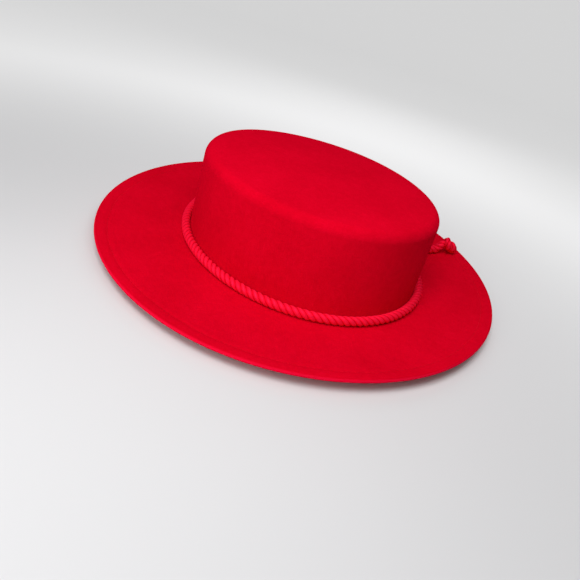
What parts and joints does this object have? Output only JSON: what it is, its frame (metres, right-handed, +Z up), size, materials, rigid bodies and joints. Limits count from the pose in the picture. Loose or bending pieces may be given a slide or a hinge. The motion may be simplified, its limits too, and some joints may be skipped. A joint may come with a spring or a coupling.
{
  "type": "rancher hat",
  "caption": "Felt hat with a low flat crown, a wide gently upswept brim with a turned edge, and a rope band whose free end is knotted.",
  "frame": {"origin": "on the floor under the middle of the hat, level with the flat ring that it stands on", "axes": "+Z up through the crown, +X towards the front, +Y towards the wearer's left"},
  "size_m": [0.3134, 0.3184, 0.068],
  "materials": {
    "felt": "matte",
    "rope": "satin"
  },
  "bodies": {
    "root": {"felt_body": "felt", "rope_band": "rope", "rope_knot": "rope"}
  },
  "joints": []
}
